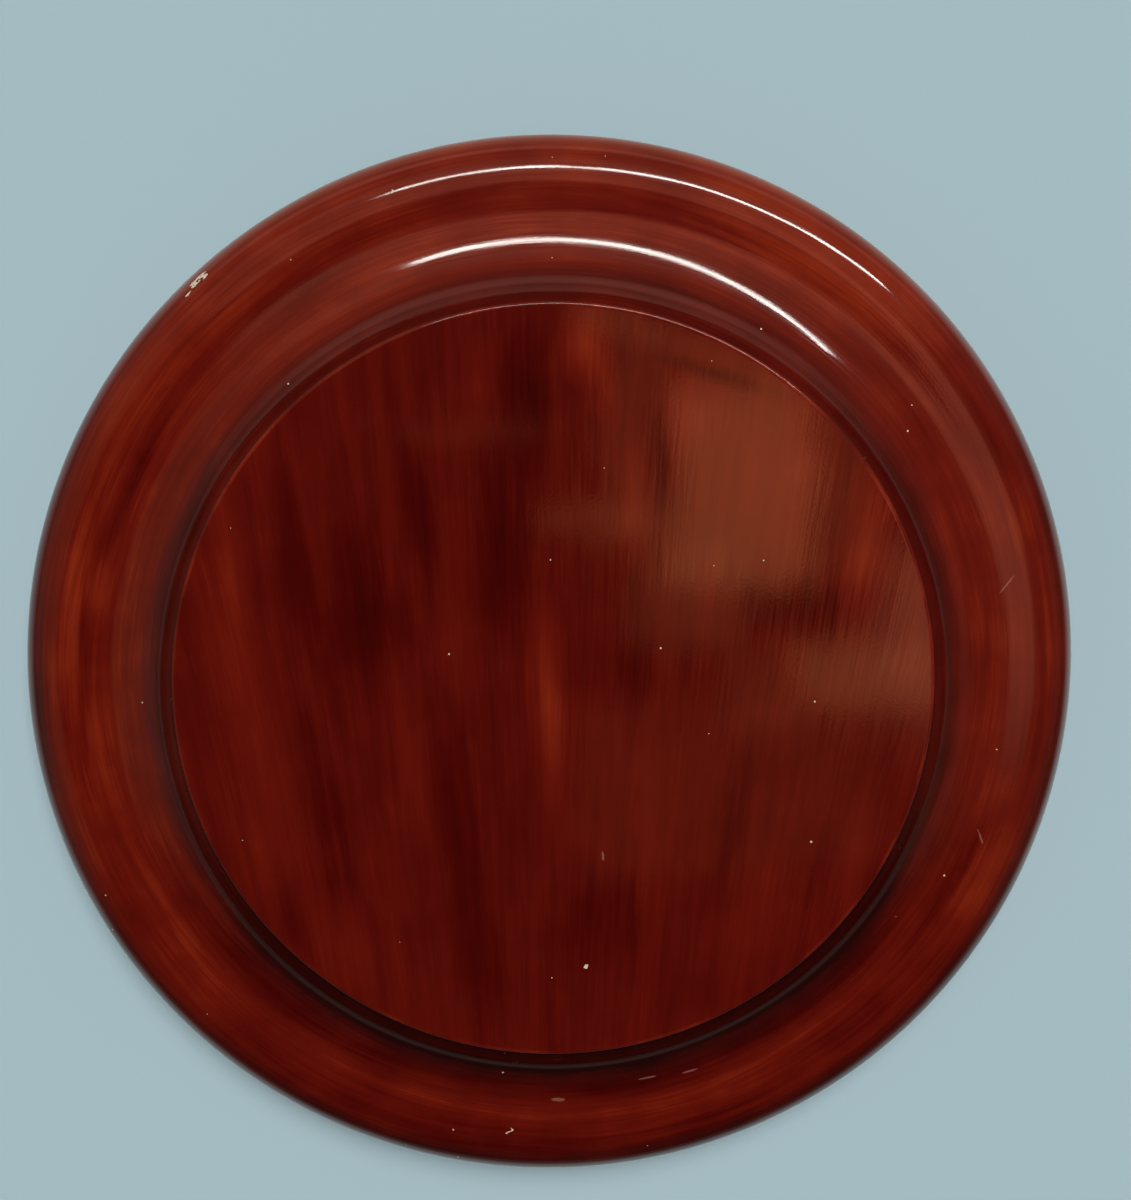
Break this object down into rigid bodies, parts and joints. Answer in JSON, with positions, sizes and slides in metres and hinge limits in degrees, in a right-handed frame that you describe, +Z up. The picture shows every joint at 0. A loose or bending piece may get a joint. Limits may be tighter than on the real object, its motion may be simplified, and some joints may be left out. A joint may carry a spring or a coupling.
{
  "type": "round display base",
  "caption": "Round turned wooden display base with a raised flat centre, a hollow cove, a rounded rim and felt pads.",
  "frame": {"origin": "under the centre of the disc, on the surface that the felt pads stand on", "axes": "+Z up, out of the raised centre; +Y along the grain of the boards; +X across the boards"},
  "size_m": [0.3, 0.3, 0.0375],
  "materials": {
    "stained_wood": "dark red mahogany stain, brushed on, under gloss lacquer",
    "felt": "dark brown wool felt"
  },
  "bodies": {
    "root": {"board_left_outer": "stained_wood", "board_left_inner": "stained_wood", "board_centre": "stained_wood", "board_right_inner": "stained_wood", "board_right_outer": "stained_wood", "felt_pad_back_right": "felt", "felt_pad_back_left": "felt", "felt_pad_front_left": "felt", "felt_pad_front_right": "felt"}
  },
  "joints": []
}
